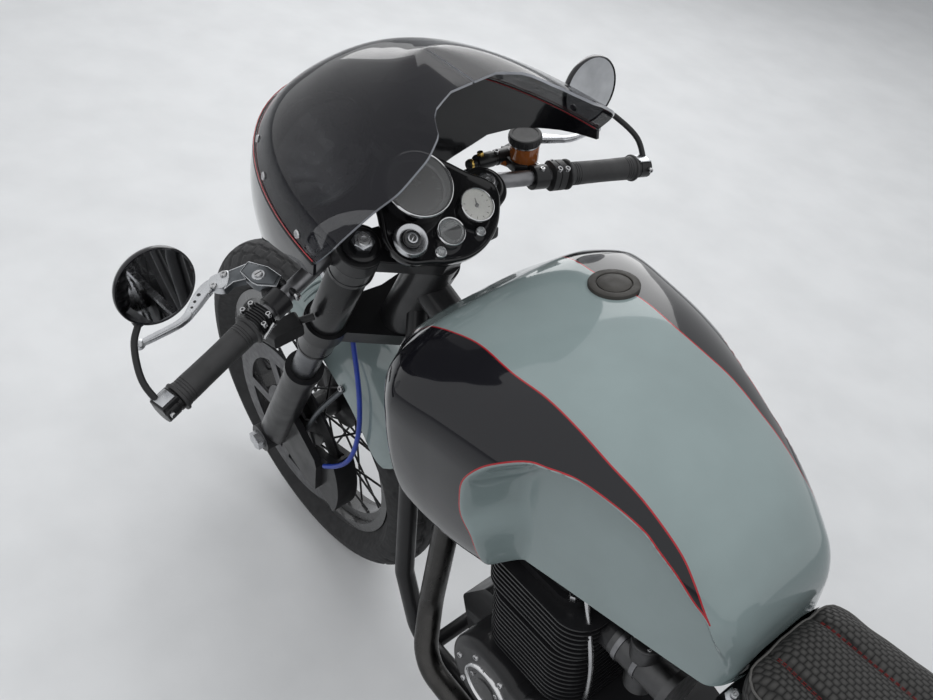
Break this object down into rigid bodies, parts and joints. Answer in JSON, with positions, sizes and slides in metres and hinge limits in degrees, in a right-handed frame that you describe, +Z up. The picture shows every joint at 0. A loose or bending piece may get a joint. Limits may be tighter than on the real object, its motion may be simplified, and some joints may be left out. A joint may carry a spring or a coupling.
{
  "type": "cafe racer motorcycle",
  "caption": "Cafe racer motorcycle with a half fairing, low handlebars, spoked wheels and a finned engine, leaning on its side stand.",
  "frame": {"origin": "on the floor, in the plane through both wheels, midway between the two axles", "axes": "+X forward, +Y to the rider's left, +Z up from the floor; the machine leans 10.5 degrees to the left on its side stand"},
  "size_m": [2.086, 0.7898, 1.1663],
  "materials": {
    "tyre": "treaded black rubber",
    "rim_metal": "satin black rim",
    "steel_bright": "bright steel",
    "disc_steel": "ground steel",
    "black_metal": "satin black paint",
    "black_gloss": "gloss black paint",
    "fork_grey": "grey stanchion",
    "silver_alloy": "machined alloy",
    "tank_paint": "gloss blue grey with black panels and thin red lines",
    "screen_tint": "dark tinted screen",
    "grip_rubber": "smooth black rubber",
    "hose_blue": "blue braided hose",
    "dial_face": "dark dial with a bright rim",
    "panel_black": "gloss black panel",
    "seat_leather": "black leather with red stitching",
    "cap_plastic": "matte dark grey",
    "lens_clear": "clear lens",
    "lens_red": "red lamp lens",
    "exhaust_steel": "polished steel",
    "black_plastic": "matte black plastic"
  },
  "bodies": {
    "chassis": {"frame_main": "black_metal", "rear_subframe": "black_metal", "swingarm": "black_metal", "pivot_spindles": "steel_bright", "shock_absorbers": "black_metal", "rear_caliper": "black_metal", "chain": "steel_bright", "crankcase": "black_metal", "engine_covers": "black_metal", "cylinder_block": "black_metal", "cylinder_head": "black_metal", "carburettors": "silver_alloy", "exhausts": "exhaust_steel", "tank": "tank_paint", "fuel_cap": "cap_plastic", "seat": "seat_leather", "seat_cowl": "black_gloss", "tail_unit": "black_plastic", "tail_lamp": "lens_red", "rearsets": "silver_alloy", "horn": "black_metal"},
    "steering": {"top_clamp": "black_metal", "lower_clamp": "black_metal", "fork_tubes": "fork_grey", "fork_covers": "black_gloss", "fork_slider_left": "black_metal", "fork_slider_right": "black_metal", "front_axle": "silver_alloy", "front_caliper": "black_metal", "brake_hose": "hose_blue", "front_fender": "tank_paint", "clip_ons": "silver_alloy", "grips": "grip_rubber", "mirrors": "black_metal", "clutch_lever": "silver_alloy", "brake_lever": "silver_alloy", "switch_blocks": "black_plastic", "instrument_panel": "panel_black", "gauges": "dial_face", "fairing": "black_gloss", "windscreen": "screen_tint", "headlamp": "silver_alloy", "headlamp_lens": "lens_clear", "front_indicators": "black_plastic"},
    "front_wheel": {"front_tyre": "tyre", "front_rim": "rim_metal", "front_hub": "black_metal", "front_disc": "disc_steel"},
    "rear_wheel": {"rear_tyre": "tyre", "rear_rim": "rim_metal", "rear_hub": "black_metal", "rear_disc": "disc_steel", "rear_sprocket": "steel_bright"},
    "side_stand": {"side_stand": "black_metal"}
  },
  "joints": [
    {"name": "steer", "type": "hinge", "parent": "chassis", "child": "steering", "pos_m": [0.68473, 0.05429, 0.29377], "axis": [-0.4462, 0.1631, 0.8799], "range_deg": [-30, 30]},
    {"name": "front_wheel_spin", "type": "hinge", "parent": "steering", "child": "front_wheel", "pos_m": [0.725, 0.05795, 0.31351], "axis": [0, 0.9833, -0.1822], "continuous": true},
    {"name": "rear_wheel_spin", "type": "hinge", "parent": "chassis", "child": "rear_wheel", "pos_m": [-0.725, 0.058, 0.31376], "axis": [0, 0.9833, -0.1822], "continuous": true},
    {"name": "stand_fold", "type": "hinge", "parent": "chassis", "child": "side_stand", "pos_m": [0.04, 0.12253, 0.15712], "axis": [-0.182, 0.9775, 0.1066], "range_deg": [0, 104]}
  ]
}
